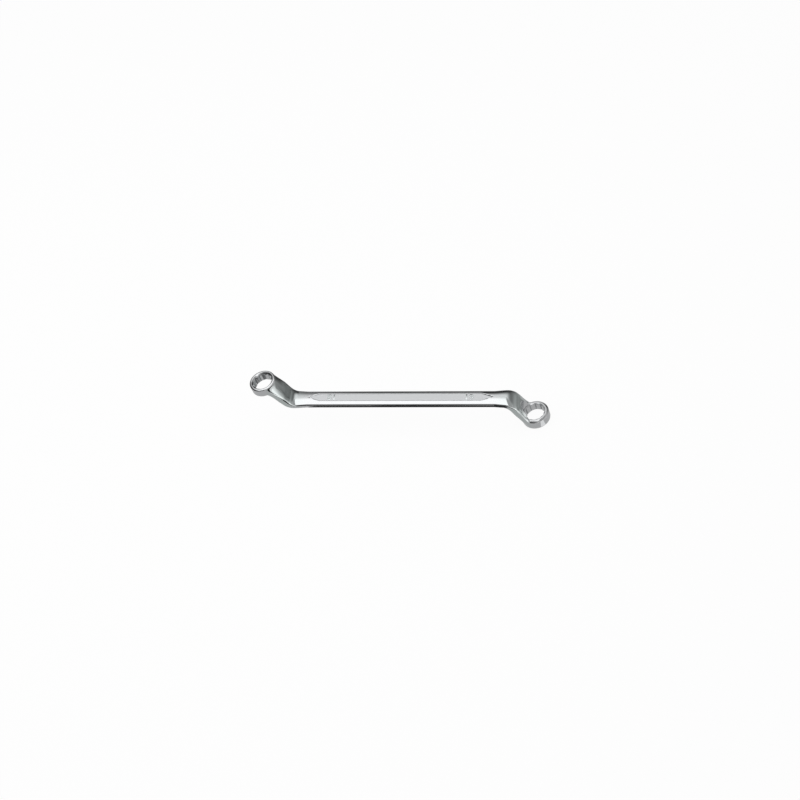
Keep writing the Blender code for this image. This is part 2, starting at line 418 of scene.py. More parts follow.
def rounded_chain(corners, setbacks, round_steps, straight_steps):
    """A chain of straight runs whose corners are rounded, for all columns at once.

    Each corner is cut back by its setback along both its sides, and the two ends are joined by the
    weighted parabola that is an arc of a circle, its weight the cosine of half the turn.
    """
    corners = [np.stack(np.broadcast_arrays(*corner), axis=-1) for corner in corners]
    shape = np.broadcast_shapes(*(corner.shape for corner in corners))
    corners = [np.broadcast_to(corner, shape) for corner in corners]
    rows, last = [corners[0]], corners[0]
    for index in range(1, len(corners)):
        here = corners[index]
        arrive = unit(here - corners[index - 1])
        start = here - arrive * setbacks[index]
        for step in range(1, straight_steps[index - 1] + 1):
            rows.append(between(last, start, step / straight_steps[index - 1]))
        last = start
        if setbacks[index]:
            leave = unit(corners[index + 1] - here)
            finish = here + leave * setbacks[index]
            weight = np.sqrt((1.0 + np.sum(arrive * leave, axis=-1, keepdims=True)) / 2)
            for step in range(1, round_steps[index] + 1):
                share = step / round_steps[index]
                first, final = (1 - share) ** 2, share ** 2
                middle = 2 * weight * share * (1 - share)
                total = first * start + middle * here + final * finish
                rows.append(total / (first + middle + final))
            last = finish
    chain = np.stack(rows)
    return chain[..., 0], chain[..., 1]


def from_point(theta):
    """Angle from the nearest point of the twelve-point bore."""
    return np.abs(np.mod(theta + sector, 2 * sector) - sector)


def bore_radius(form, theta):
    """Radius of the bore: half the flats over the cosine of the angle from a flat's middle.

    Points and notches are softened: each angle from one is the root of its square plus the square
    of a fine angle, less that fine angle.
    """
    fine = radians(0.6)
    soft_point = np.sqrt(from_point(theta) ** 2 + fine ** 2) - fine
    soft = sector - (np.sqrt((sector - soft_point) ** 2 + fine ** 2) - fine)
    return form.across_flats / 2 / np.cos(2 * sector - soft)


def warped(theta, spread):
    """Columns moved round the head so that the root's edge, at root_angle, moves by the spread."""
    edge = root_angle + spread
    near = theta * edge / root_angle
    far = edge + (np.abs(theta) - root_angle) * (pi - edge) / (pi - root_angle)
    return np.where(np.abs(theta) <= root_angle, near, np.sign(theta) * far)


def head_columns():
    """Angles of a head's columns, from minus half a turn to plus half a turn."""
    half = np.concatenate([index * sector + sector_steps for index in range(12)] + [[pi]])
    return np.concatenate([-half[::-1], half[1:]])


def root_columns():
    """Angles of the columns that the neck's root takes up."""
    theta = head_columns()
    return theta[np.abs(theta) <= root_angle + tiny]


def head_inside(form):
    """Working rim, working face, lead-ins and bore: rounded chains from the wall's foot inwards."""
    theta = head_columns()
    half = form.height / 2
    wall = bore_radius(form, theta)
    sink = (form.mouth - wall) * tan(form.sizes.lead_in_slope)
    wide = form.mouth + form.sizes.countersink
    wide_sink = (wide - wall) * tan(form.sizes.countersink_slope)
    soft = 0.16 * MM
    foot_steps, rim_steps, face_steps, mouth_steps, slope_steps, bore_steps = 1, 8, 5, 3, 3, 8
    soft_steps = 2
    rho, zeta = rounded_chain(
        ((form.radius, form.wall_foot), (form.radius, -half), (wide, -half),
         (wall, -half + wide_sink), (wall, half - sink), (form.mouth, half)),
        (0.0, form.sizes.working_rim_radius, soft, soft / 2, soft / 2, 0.0),
        (0, rim_steps, mouth_steps, soft_steps, soft_steps, 0),
        (foot_steps, face_steps, slope_steps, bore_steps, slope_steps),
    )
    rows = len(rho)
    face_end = foot_steps + rim_steps + face_steps
    to_face = part_way(0.0, face_end, np.arange(rows, dtype=float))[:, None]
    turned = warped(theta[None, :], foot_spread * (1.0 - ease(to_face)))
    bored = np.zeros(rows)
    bored[face_end + mouth_steps:] = half_bored
    bored[face_end + mouth_steps + slope_steps + 1:-slope_steps - 1] = 1.0
    # Painted shade along the bore's notches, deepest at the points of its profile
    groove_reach = radians(4.2)
    in_groove = 1.0 - ease(part_way(0.0, groove_reach, from_point(theta)))
    notch_shade = np.where(bored == 1.0, 1.0, 0.0)[:, None] * in_groove
    return on_head(form, rho, turned, zeta), bored[:, None] * np.ones(len(theta)), notch_shade


def head_outside(form):
    """Back face, back bevel and wall, round the part of the head that the neck leaves free."""
    theta = head_columns()
    half = form.height / 2
    bevel = form.sizes.back_rim_bevel
    soft = 0.22 * MM
    bevel_rise, foot_soft = 0.85, 1.4
    face_steps, bevel_steps, wall_steps, soft_steps = 5, 2, 8, 3
    rho, zeta = rounded_chain(
        ((form.mouth, half), (form.radius - bevel, half), (form.radius, half - bevel * bevel_rise),
         (form.radius, form.wall_foot)),
        (0.0, soft, soft * foot_soft, 0.0),
        (0, soft_steps, soft_steps, 0),
        (face_steps, bevel_steps, wall_steps),
    )
    row = np.arange(len(rho), dtype=float)[:, None]
    wall_top = face_steps + soft_steps + bevel_steps + soft_steps
    spread = between(0.0, bevel_spread, ease(part_way(0.0, wall_top - soft_steps, row)))
    spread = between(spread, foot_spread, ease(part_way(wall_top, len(rho) - 1, row)))
    return [
        on_head(form, rho[:, None], warped(theta[None, keep], spread), zeta[:, None])
        for keep in (theta <= -root_angle + tiny, theta >= root_angle - tiny)]


def neck_height(form, theta):
    """Height up the bore's mouth at which it leaves the neck's outer side, found by halving."""
    low = np.full_like(theta, 0.0)
    high = np.full_like(theta, 2 * form.height)
    x, z, _ = centre_line(form, np.array([form.neck_from]))
    start = np.array((x[0], 0.0, z[0]))
    halvings = 40
    for _ in range(halvings):
        middle = (low + high) / 2
        from_start = on_head(form, form.mouth, theta, middle) - start
        run = form.neck_from + from_start @ form.neck_way
        up = from_start @ form.neck_side
        half_width, outer, inner, fullness, crown = section(form, run)
        share = from_start[:, 1] / half_width
        depth = np.where(up > 0, outer, inner) - crown * np.minimum(share, 1.0) ** 2
        inside = np.abs(share) ** fullness + np.abs(up / depth) ** fullness < 1.0
        low, high = np.where(inside, middle, low), np.where(inside, high, middle)
    return (low + high) / 2


def scoop_rows(form):
    """The bore's mouth carried up through the neck: a cylinder that ends at the neck's outer side.

    The end's height is the neck's, eased into the head's back face by the logarithm of one plus an
    exponential, and faded to nothing at the root's edge by the eighth power of the share round.
    """
    theta = root_columns()
    soft, fade_power, rows = 0.35 * MM, 8, 7
    above = neck_height(form, theta) - form.height / 2
    fade = 1.0 - (np.abs(theta) / root_angle) ** fade_power
    top = form.height / 2 + soft * np.logaddexp(0.0, above / soft) * fade
    share = np.linspace(0.0, 1.0, rows)[:, None]
    return on_head(form, form.mouth, theta[None, :], between(form.height / 2, top[None, :], share))


def smoothed_round(values, passes):
    """Average of each value with its neighbours round a closed loop, a number of times over."""
    for _ in range(passes):
        values = (np.roll(values, 1, axis=0) + 2 * values + np.roll(values, -1, axis=0)) / 4
    return values


def root_rows(form, neck_end, neck_before, scoop, sides):
    """The neck's root: a cubic from each point of the neck's last row to a point of the head.

    With u from nought to one, a point is the mix of both ends and both end slopes by the four cubic
    weights that match place and slope at each end. It arrives along the neck at the bore's mouth,
    round the head on its sides, and down the wall at the foot.
    """
    blend_power, way_passes, pull_passes, rows = 4, 4, 12, 29
    front, back = sides
    near = root_columns()
    foot = on_head(form, form.radius, warped(near, foot_spread), form.wall_foot)
    target = np.concatenate([scoop[-1], back[1:-1, 0], foot[::-1], front[::-1][1:-1, -1]])
    faces = face_tracks + 1
    flank = flank_tracks - 1
    inward = unit(form.centre - target)
    inward -= (inward @ form.upward)[:, None] * form.upward
    inward = unit(inward)
    sideways = unit(np.cross(inward, form.upward))
    sideways *= np.sign(sideways @ form.across)[:, None]
    sideways *= np.sign(target @ form.across + tiny)[:, None]
    blend = (np.abs(near) / root_angle)[:, None] ** blend_power
    arrive = np.concatenate([
        unit(between(form.neck_way[None, :], inward[:faces], blend)),
        sideways[faces:faces + flank],
        np.repeat(-form.upward[None, :], faces, axis=0),
        sideways[2 * faces + flank:],
    ])
    reach = np.linalg.norm(target - neck_end, axis=-1)[:, None]
    # How far each end slope carries, as a share of the gap: outer side, flank, inner side, flank
    arrive_pull, leave_pull = (
        smoothed_round(np.repeat(pulls, (faces, flank, faces, flank))[:, None], pull_passes)
        for pulls in ((0.7, 0.45, 0.15, 0.45), (0.7, 0.45, 1.05, 0.45)))
    arrive = unit(smoothed_round(arrive, way_passes)) * reach * arrive_pull
    leave = unit(neck_end - neck_before) * reach * leave_pull
    u = np.linspace(0.0, 1.0, rows)[:, None, None]
    return (
        (2 * u ** 3 - 3 * u ** 2 + 1) * neck_end
        + (u ** 3 - 2 * u ** 2 + u) * leave
        + (3 * u ** 2 - 2 * u ** 3) * target
        + (u ** 3 - u ** 2) * arrive
    )


def half_grids(form):
    """All grids of one half: points, whether each closes on itself, and its masks."""
    shoulder = form.panel_end - form.sizes.panel_tip_length
    mouth_gap, past_tip = 1.2 * MM, 0.8 * MM
    handle_rows, neck_rows = (24, 30, 10, 20), 16
    trials, floor_from, forged_at_head = 400, 0.8, 0.4
    trial = np.linspace(form.neck_from, form.neck_to, trials)
    x, z, angle = centre_line(form, trial)
    outer = section(form, trial)[1]
    face = np.stack([x + outer * np.sin(angle), 0 * x, z + outer * np.cos(angle)], axis=-1)
    reached = (face - form.centre) @ form.along
    run_end = np.interp(-form.mouth, reached, trial) - mouth_gap
    stations = (0.0, shoulder, form.panel_end + past_tip, form.bend_from, form.neck_from)
    run = np.concatenate([
        *(np.linspace(first, last, rows, endpoint=False)
          for first, last, rows in zip(stations, stations[1:], handle_rows)),
        np.linspace(form.neck_from, run_end, neck_rows)])
    body, sunk, wall_shade = body_rows(form, run)
    inside, bored, notch_shade = head_inside(form)
    sides = head_outside(form)
    scoop = scoop_rows(form)
    root = root_rows(form, body[-1], body[-2], scoop, sides)
    forged = part_way(form.flare_from, form.neck_from, run)[:, None] * np.ones(body.shape[1])
    rooted = np.linspace(1.0, forged_at_head, len(root))[:, None] * np.ones(root.shape[1])
    panel = ease(part_way(floor_from, 1.0, sunk))
    return [
        (body, True, {"panel": panel, "wall_shade": wall_shade, "forged": forged}),
        (root, True, {"forged": rooted}),
        (inside, False, {"bored": bored, "notch_shade": notch_shade}),
        (sides[0], False, {}),
        (sides[1], False, {}),
        (scoop, False, {"bored": np.full(scoop.shape[:2], half_bored)}),
    ]


def grid_faces(rows, columns, closed, first):
    """Corner indices of a grid's quads; a closed grid's last column is joined to its first."""
    row = np.arange(rows - 1)[:, None]
    column = np.arange(columns if closed else columns - 1)[None, :]
    following = (column + 1) % columns
    corners = np.stack(np.broadcast_arrays(
        row * columns + column, row * columns + following,
        (row + 1) * columns + following, (row + 1) * columns + column), axis=-1)
    return corners.reshape(-1, 4) + first


masks = ("panel", "forged", "bored", "notch_shade", "wall_shade")
sharp_from = radians(34.0)
weld_gap = 0.0008 * MM
number_weld_gap = 0.002 * MM


def edge_sharpness(mesh):
    """How sharply the surface bends outwards at each vertex, from nought to one.

    For each edge it is the change of normal along the edge over the edge's length, as a share of
    the bend of a round of one millimetre. A vertex has the average of its edges, times a gain.
    """
    least_square, gain = 1e-12, 2.0
    count = len(mesh.vertices)
    place, normal = np.empty(count * 3), np.empty(count * 3)
    ends = np.empty(len(mesh.edges) * 2, dtype=np.int32)
    mesh.vertices.foreach_get("co", place)
    mesh.vertices.foreach_get("normal", normal)
    mesh.edges.foreach_get("vertices", ends)
    place, normal, ends = place.reshape(-1, 3), normal.reshape(-1, 3), ends.reshape(-1, 2)
    step = place[ends[:, 1]] - place[ends[:, 0]]
    turn = normal[ends[:, 1]] - normal[ends[:, 0]]
    square = np.maximum(np.sum(step * step, axis=1), least_square)
    bend = np.clip(np.sum(step * turn, axis=1) / square * MM, 0.0, 1.0)
    total = np.bincount(ends.ravel(), weights=np.repeat(bend, 2), minlength=count)
    met = np.bincount(ends.ravel(), minlength=count)
    return np.clip(gain * total / np.maximum(met, 1), 0.0, 1.0)


def mask_layer(mesh, name, values):
    layer = mesh.attributes.new(name, "FLOAT", "POINT")
    layer.data.foreach_set("value", values.astype(np.float32))


def welded(mesh, parts, gap):
    """Joins the parts into a mesh, points within the gap as one, and counts the edges left open."""
    work = bmesh.new()
    for part in parts:
        work.from_mesh(part)
    bmesh.ops.remove_doubles(work, verts=work.verts, dist=gap)
    bmesh.ops.recalc_face_normals(work, faces=work.faces)
    opened = sum(len(edge.link_faces) != 2 for edge in work.edges)
    if work.calc_volume(signed=True) < 0:
        bmesh.ops.reverse_faces(work, faces=work.faces)
    work.to_mesh(mesh)
    work.free()
    return opened


def smoothed(mesh):
    mesh.shade_smooth()
    mesh.set_sharp_from_angle(angle=sharp_from)


def skin_mesh(name, grids):
    """One closed mesh of all grids, with a value per vertex for each mask."""
    points, faces, values = [], [], {mask: [] for mask in masks}
    count = 0
    for grid, closed, marks in grids:
        rows, columns = grid.shape[:2]
        points.append(grid.reshape(-1, 3))
        faces.append(grid_faces(rows, columns, closed, count))
        for mask in masks:
            values[mask].append(np.ravel(marks.get(mask, np.zeros((rows, columns)))))
        count += rows * columns
    points, faces = np.concatenate(points), np.concatenate(faces)
    mesh = bpy.data.meshes.new(name)
    mesh.vertices.add(len(points))
    mesh.vertices.foreach_set("co", points.ravel())
    mesh.loops.add(faces.size)
    mesh.loops.foreach_set("vertex_index", faces.ravel().astype(np.int32))
    mesh.polygons.add(len(faces))
    mesh.polygons.foreach_set("loop_start", np.arange(0, faces.size, 4, dtype=np.int32))
    mesh.update(calc_edges=True)
    for mask in masks:
        mask_layer(mesh, mask, np.concatenate(values[mask]))
    opened = welded(mesh, [mesh], weld_gap)
    if opened:
        raise RuntimeError(f"{name} has {opened} edges that don't join two faces")
    mask_layer(mesh, "edge", edge_sharpness(mesh))
    smoothed(mesh)
    return mesh


def turned_half(grids):
    """A hanging half turned half round the Y axis, so that it stands."""
    return [(grid * np.array((-1.0, 1.0, -1.0)), closed, marks) for grid, closed, marks in grids]


# ---------------- materials


def feed(tree, node, inputs):
    """Gives each named or numbered input of a node its value, or joins it to a socket."""
    for label, value in inputs.items():
        if hasattr(value, "links"):
            tree.links.new(value, node.inputs[label])
        else:
            node.inputs[label].default_value = value


def made(tree, kind, inputs, **settings):
    """A new shader node of a kind, with its settings and inputs."""
    node = tree.nodes.new("ShaderNode" + kind)
    for name, value in settings.items():
        setattr(node, name, value)
    feed(tree, node, inputs)
    return node


def arithmetic(tree, operation, *terms):
    """One sum of one to three terms, each a number or a socket."""
    return made(tree, "Math", dict(enumerate(terms)), operation=operation).outputs[0]


def place_of(tree):
    return made(tree, "TexCoord", {}).outputs["Object"]


def noise_over(tree, place, scale, detail, roughness=0.5):
    """Noise from nought to one at a scale per metre on each axis."""
    stretch = made(tree, "VectorMath", {0: place, 1: scale}, operation="MULTIPLY")
    return made(tree, "TexNoise", {
        "Vector": stretch.outputs[0], "Scale": 1.0, "Detail": detail,
        "Roughness": roughness}).outputs["Fac"]


def group_of(name, more_inputs, make):
    """A new shader node group: a place and more numbers in, and out what make works out of them."""
    group = bpy.data.node_groups.new(name, "ShaderNodeTree")
    group.interface.new_socket("Place", in_out="INPUT", socket_type="NodeSocketVector")
    for label in more_inputs:
        group.interface.new_socket(label, in_out="INPUT", socket_type="NodeSocketFloat")
    results = make(group, *group.nodes.new("NodeGroupInput").outputs[:1 + len(more_inputs)])
    for label in results:
        group.interface.new_socket(label, in_out="OUTPUT", socket_type="NodeSocketFloat")
    feed(group, group.nodes.new("NodeGroupOutput"), results)
    return group


def fine_lines(group, place):
    """Polishing lines along the tool, and cloudy patches where the polish is duller."""
    return {"Lines": noise_over(group, place, scale=(90.0, 2600.0, 2600.0), detail=3.0),
            "Clouds": noise_over(group, place, scale=(70.0, 160.0, 160.0), detail=2.0)}


def forging_ripple(group, place):
    """Soft hollows and ripples of a forged surface under its plate."""
    small_share = 0.25
    broad = noise_over(group, place, scale=(190.0, 120.0, 190.0), detail=1.0)
    small = noise_over(group, place, scale=(620.0, 620.0, 620.0), detail=1.0)
    return {"Ripple": arithmetic(group, "MULTIPLY_ADD", small, small_share, broad)}


def blasted_grain(group, place):
    """The dense small pits of a blasted surface."""
    return {"Grain": noise_over(
        group, place, scale=(2300.0, 2300.0, 2300.0), detail=2.0, roughness=0.7)}


def broach_lines(group, place, lean):
    """The broach's lines: noise drawn out along a bore's axis, which leans by an angle."""
    turned = made(group, "VectorRotate", {"Vector": place, "Angle": lean}, rotation_type="Y_AXIS")
    lines = noise_over(group, turned.outputs[0], scale=(1300.0, 1300.0, 60.0), detail=2.0)
    return {"Lines": lines}


def worn_edges(group, place, edge):
    """Where use has rubbed the edges: the edge mask, broken up by noise."""
    contrast, cut = 1.6, -0.35
    patches = noise_over(group, place, scale=(240.0, 240.0, 240.0), detail=3.0, roughness=0.6)
    broken = arithmetic(group, "MULTIPLY_ADD", patches, contrast, cut)
    return {"Worn": arithmetic(group, "MULTIPLY", edge, broken)}


def placed(tree, make, place, **inputs):
    """Outputs of the group that make works out, which is built the first time it is asked for."""
    name = make.__name__.replace("_", " ")
    group = bpy.data.node_groups.get(name) or group_of(name, inputs, make)
    return made(tree, "Group", {"Place": place, **inputs}, node_tree=group).outputs


def mask_of(tree, name):
    return made(tree, "Attribute", {}, attribute_name=name).outputs["Fac"]


def mixed(tree, share, first, second):
    """A colour between two colours, each a property's value or a socket."""
    sockets = {0: share}
    for index, colour in ((6, first), (7, second)):
        sockets[index] = colour if hasattr(colour, "links") else (*colour, 1.0)
    return made(tree, "Mix", sockets, data_type="RGBA", clamp_factor=True).outputs[2]


def plain_material(name):
    """A new material, its node tree and its shader."""
    material = bpy.data.materials.new(name)
    material.use_nodes = True
    return material, material.node_tree, material.node_tree.nodes["Principled BSDF"]


def plated(tree, shader, colour, rough, height, distance):
    """Makes the shader metal of a colour and roughness, bumped by a height times the distance."""
    bump = made(tree, "Bump", {"Strength": 1.0, "Distance": distance, "Height": height})
    feed(tree, shader, {
        "Metallic": 1.0, "Base Color": colour, "Roughness": rough, "Normal": bump.outputs[0]})


def chrome_material(finish, sizes):
    """Chrome plate over a forging: polished handle, rippled necks, blasted panels and bores."""
    material, tree, shader = plain_material("satin chrome")
    place = place_of(tree)
    panel, forged, bored, notch_shade, wall_shade, edge = (mask_of(tree, name) for name in (*masks, "edge"))
    lines, clouds = placed(tree, fine_lines, place)
    ripple = placed(tree, forging_ripple, place)[0]
    grain = placed(tree, blasted_grain, place)[0]
    broach = placed(tree, broach_lines, place, Lean=sizes.head_tilt)[0]
    worn = placed(tree, worn_edges, place, Edge=edge)[0]

    colour = mixed(tree, forged, finish.chrome_colour, finish.neck_colour)
    colour = mixed(tree, panel, colour, finish.panel_colour)
    colour = mixed(tree, worn, colour, finish.worn_colour)
    # Painted shade, deeper where the clouds are: its mask, and how far they and an even part count
    for mask, cloudy, even in ((notch_shade, 0.9, 0.35), (wall_shade, 0.8, 0.3)):
        shade_amount = arithmetic(tree, "MULTIPLY_ADD", clouds, cloudy, even)
        colour = mixed(tree, arithmetic(tree, "MULTIPLY", mask, shade_amount), colour, finish.shade_colour)

    polished = finish.polished_roughness
    cloud_part, even_part, rubbed = 0.8, 0.6, -0.03
    rough = arithmetic(tree, "MULTIPLY_ADD", clouds, polished * cloud_part, polished * even_part)
    for mask, more in (
            (panel, finish.blasted_roughness - polished), (bored, finish.bore_roughness - polished),
            (worn, rubbed)):
        rough = arithmetic(tree, "MULTIPLY_ADD", mask, more, rough)

    height = arithmetic(tree, "MULTIPLY", lines, finish.scratch_depth / MM)
    for mask, detail, depth in (
            (forged, ripple, finish.ripple_depth), (panel, grain, finish.grain_depth),
            (bored, broach, finish.broach_depth)):
        part = arithmetic(tree, "MULTIPLY", mask, detail)
        height = arithmetic(tree, "MULTIPLY_ADD", part, depth / MM, height)
    plated(tree, shader, colour, rough, height, MM)
    return material


def number_material(finish):
    """Chrome on the raised numbers, with the same fine grain as the panels."""
    material, tree, shader = plain_material("number chrome")
    place = place_of(tree)
    grain = placed(tree, blasted_grain, place)[0]
    clouds = placed(tree, fine_lines, place)[1]
    colour = mixed(tree, grain, finish.chrome_colour, finish.neck_colour)
    polished = finish.polished_roughness
    rough = arithmetic(tree, "MULTIPLY_ADD", clouds, polished, polished)
    plated(tree, shader, colour, rough, grain, finish.grain_depth / 2)
    return material


# ---------------- pieces


def shown(name, data):
    """An object of that name in the scene; one that an earlier run made is cleared first."""
    old = bpy.data.objects.get(name)
    if old:
        bpy.data.objects.remove(old, do_unlink=True)
    item = bpy.data.objects.new(name, data)
    bpy.context.scene.collection.objects.link(item)
    return item


def number_mesh(sizes, across_flats, middle, turned):
    """A raised number: the figures' outline pushed up by half the rise each way, edges rounded."""
    figures = f"{across_flats / MM:.0f}"
    size_share, bold_share, push_share, round_share = 1.38, 0.012, 0.5, 0.25
    outline = bpy.data.curves.new(f"number {figures}", "FONT")
    outline.body = figures
    outline.align_x = "CENTER"
    outline.size = sizes.number_height * size_share
    outline.offset = sizes.number_height * bold_share
    outline.resolution_u = 4
    outline.extrude = sizes.number_rise * push_share
    outline.bevel_depth = sizes.number_rise * round_share
    outline.bevel_resolution = 1
    carrier = bpy.data.objects.new(f"number {figures}", outline)
    bpy.context.scene.collection.objects.link(carrier)
    bpy.context.view_layer.update()
    seen = carrier.evaluated_get(bpy.context.evaluated_depsgraph_get())
    mesh = bpy.data.meshes.new_from_object(seen)
    bpy.data.objects.remove(carrier, do_unlink=True)
    bpy.data.curves.remove(outline)
    place = np.empty(len(mesh.vertices) * 3)
    mesh.vertices.foreach_get("co", place)
    place = place.reshape(-1, 3)
    place[:, :2] -= (place[:, :2].min(axis=0) + place[:, :2].max(axis=0)) / 2
    if turned:
        place[:, :2] *= -1.0
    place += (middle, 0.0, sizes.handle_thickness / 2 - sizes.panel_depth)
    mesh.vertices.foreach_set("co", place.ravel())
    return mesh


class SPANNER_OT_skin(bpy.types.Operator):
    """Build the spanner's skin: handle, necks and both heads"""

    bl_idname = "spanner.skin"
    bl_label = "Build Skin"

    def execute(self, context):
        sizes = context.scene.spanner_sizes
        small = half_form(sizes, sizes.small_across_flats, sizes.small_diameter, sizes.small_height)
        large = half_form(sizes, sizes.large_across_flats, sizes.large_diameter, sizes.large_height)
        mesh = skin_mesh("spanner_skin", turned_half(half_grids(small)) + half_grids(large))
        item = shown("spanner_skin", mesh)
        mesh.materials.append(chrome_material(context.scene.spanner_finish, sizes))
        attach(item, "root")
        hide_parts("spanner_body")
        return {"FINISHED"}


class SPANNER_OT_numbers(bpy.types.Operator):
    """Build the raised size numbers on the upper panel"""

    bl_idname = "spanner.numbers"
    bl_label = "Build Size Numbers"

    def execute(self, context):
        sizes = context.scene.spanner_sizes
        away = sizes.overall_length / 2 - sizes.panel_setback - sizes.number_setback
        parts = [
            number_mesh(sizes, sizes.small_across_flats, -away, True),
            number_mesh(sizes, sizes.large_across_flats, away, False),
        ]
        mesh = bpy.data.meshes.new("size_numbers")
        welded(mesh, parts, number_weld_gap)
        for part in parts:
            bpy.data.meshes.remove(part)
        smoothed(mesh)
        item = shown("size_numbers", mesh)
        mesh.materials.append(number_material(context.scene.spanner_finish))
        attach(item, "root")
        return {"FINISHED"}


# ---------------- stage


def staged(name, corners, faces, material):
    mesh = bpy.data.meshes.new(name)
    mesh.from_pydata(corners, [], faces)
    mesh.materials.append(material)
    item = shown(name, mesh)
    return item


def plain_board(name, size, place, turn, material):
    """A flat board, size wide and tall, scaled, turned about Z and moved into place."""
    corners = [(-0.5, -0.5, 0.0), (0.5, -0.5, 0.0), (0.5, 0.5, 0.0), (-0.5, 0.5, 0.0)]
    item = staged(name, corners, [(0, 1, 2, 3)], material)
    item.location = place
    item.rotation_euler = (0.0, 0.0, turn)
    item.scale = (*size, 1.0)
    return item


def seen_white(name, colour, share):
    """Plain paint that camera and mirrors see partly as pure white, so it keeps a faint shadow."""
    material, tree, shader = plain_material(name)
    feed(tree, shader, {"Base Color": colour, "Roughness": 0.9})
    path = made(tree, "LightPath", {}).outputs
    seen = arithmetic(tree, "MAXIMUM", path["Is Camera Ray"], path["Is Glossy Ray"])
    seen = arithmetic(tree, "MAXIMUM", seen, path["Is Transmission Ray"])
    mix = made(tree, "MixShader", {
        0: arithmetic(tree, "MULTIPLY", seen, share), 1: shader.outputs[0],
        2: made(tree, "Emission", {}).outputs[0]})
    feed(tree, tree.nodes["Material Output"], {"Surface": mix.outputs[0]})
    return material


def tone_curve(tree, source, stops):
    """A brightness that goes straight from stop to stop, each a share of the way and its value."""
    top = max(value for _, value in stops)
    tone = made(tree, "FloatCurve", {"Value": source})
    curve = tone.mapping.curves[0]
    curve.points[0].location = (stops[0][0], stops[0][1] / top)
    curve.points[1].location = (stops[-1][0], stops[-1][1] / top)
    for share, value in stops[1:-1]:
        curve.points.new(share, value / top)
    for point in curve.points:
        point.handle_type = "VECTOR"
    tone.mapping.update()
    return arithmetic(tree, "MULTIPLY", tone.outputs[0], top)


def light_paint(name, tone_of):
    """A material that only shines, as bright as tone_of makes it from its tree and the place."""
    material, tree, shader = plain_material(name)
    tree.nodes.remove(shader)
    place = made(tree, "SeparateXYZ", {0: place_of(tree)}).outputs
    light = made(tree, "Emission", {"Strength": tone_of(tree, place)})
    feed(tree, tree.nodes["Material Output"], {"Surface": light.outputs[0]})
    return material


def board_paint(name, stops):
    """A board's tone up its own height: share of the height and brightness, or one for it all."""
    if isinstance(stops, float):
        stops = ((0.0, stops), (1.0, stops))
    return light_paint(name, lambda tree, place: tone_curve(
        tree, arithmetic(tree, "ADD", place["Y"], 0.5), stops))


def ranged(tree, value, first, last, kind):
    """How far a value has got from the first to the last, from nought to one."""
    return made(tree, "MapRange", {
        "Value": value, "From Min": first, "From Max": last}, interpolation_type=kind).outputs[0]


def round_paint(name, bands):
    """Tones of the round screen, by the angle round from the front and by height.

    Each band is the heights from and to which it takes over from the one under it by a smooth step,
    and its stops: degrees from the front towards the right, then brightness.
    """
    def tone_of(tree, place):
        ahead = arithmetic(tree, "MULTIPLY", place["Y"], -1.0)
        turn = ranged(tree, arithmetic(tree, "ARCTAN2", place["X"], ahead), -pi, pi, "LINEAR")
        last = None
        for first, final, stops in bands:
            shares = [((degrees + 180.0) / 360.0, value) for degrees, value in stops]
            tone = tone_curve(tree, turn, shares)
            if last is not None:
                arrived = ranged(tree, place["Z"], first, final, "SMOOTHSTEP")
                tone = made(tree, "Mix", {0: arrived, 2: last, 3: tone}).outputs[0]
            last = tone
        return last

    return light_paint(name, tone_of)


def round_screen(name, radius, low, high, material):
    """An upright round screen, open on top: sine and minus cosine of the angle times the radius."""
    columns = 120
    turn = np.linspace(0.0, 2 * pi, columns + 1)[:-1]
    ring = np.stack([radius * np.sin(turn), -radius * np.cos(turn), 0 * turn], axis=-1)
    corners = np.concatenate([ring + (0.0, 0.0, high), ring + (0.0, 0.0, low)])
    faces = grid_faces(2, columns, True, 0)
    return staged(name, corners.tolist(), faces.tolist(), material)


# What the chrome mirrors. Mats on the floor: name, size, middle, lifts over the floor, turn in
# degrees and tones up the mat
mat_lift = 0.1 * MM
mats = (
    ("back_mat", (2.2, 1.0), (0.0, 0.55), 1, 0.0, 0.34),
    # Painted pool of light round the tool, seen only in the chrome: lighter near it and darker
    # further back
    ("light_pool_mat", (0.60, 0.24), (0.0, 0.04), 2, 0.0,
     ((0.0, 0.58), (0.54, 0.58), (0.71, 0.34), (1.0, 0.34))),
    # Painted shadow of the tool on the floor under the handle, seen only in the chrome: dark,
    # lighter at its far end
    ("shadow_mat", (0.205, 0.11), (0.0, -0.045), 3, 0.0, ((0.0, 0.03), (0.88, 0.04), (1.0, 0.3))),
    ("shade_mat", (0.40, 0.26), (0.005, 0.23), 3, 0.0,
     ((0.0, 0.34), (0.15, 0.26), (0.4, 0.10), (1.0, 0.05))),
    # Painted shade for the small head's neck where it meets its ring: a dark patch that the neck
    # mirrors
    ("neck_shade_mat", (0.11, 0.15), (-0.075, 0.135), 4, -90.0, ((0.0, 0.05), (0.5, 0.07), (1.0, 0.26))),
    ("left_back_mat", (0.9, 0.5), (-0.64, 0.33), 3, 0.0, 0.04),
    ("left_mat", (0.88, 0.33), (-0.66, -0.085), 3, 0.0, 0.05),
    ("side_mat", (0.18, 0.17), (-0.13, -0.165), 2, 0.0, ((0.0, 0.3), (0.6, 0.58), (1.0, 0.58))),
    ("front_mat", (0.19, 0.32), (0.05, -0.225), 3, 0.0, 0.04),
    ("far_mat", (1.2, 0.6), (-0.455, -0.55), 3, 0.0, 0.04),
    ("side_card", (0.009, 0.10), (0.1904, -0.0453), 4, 52.0, 1.05),
)

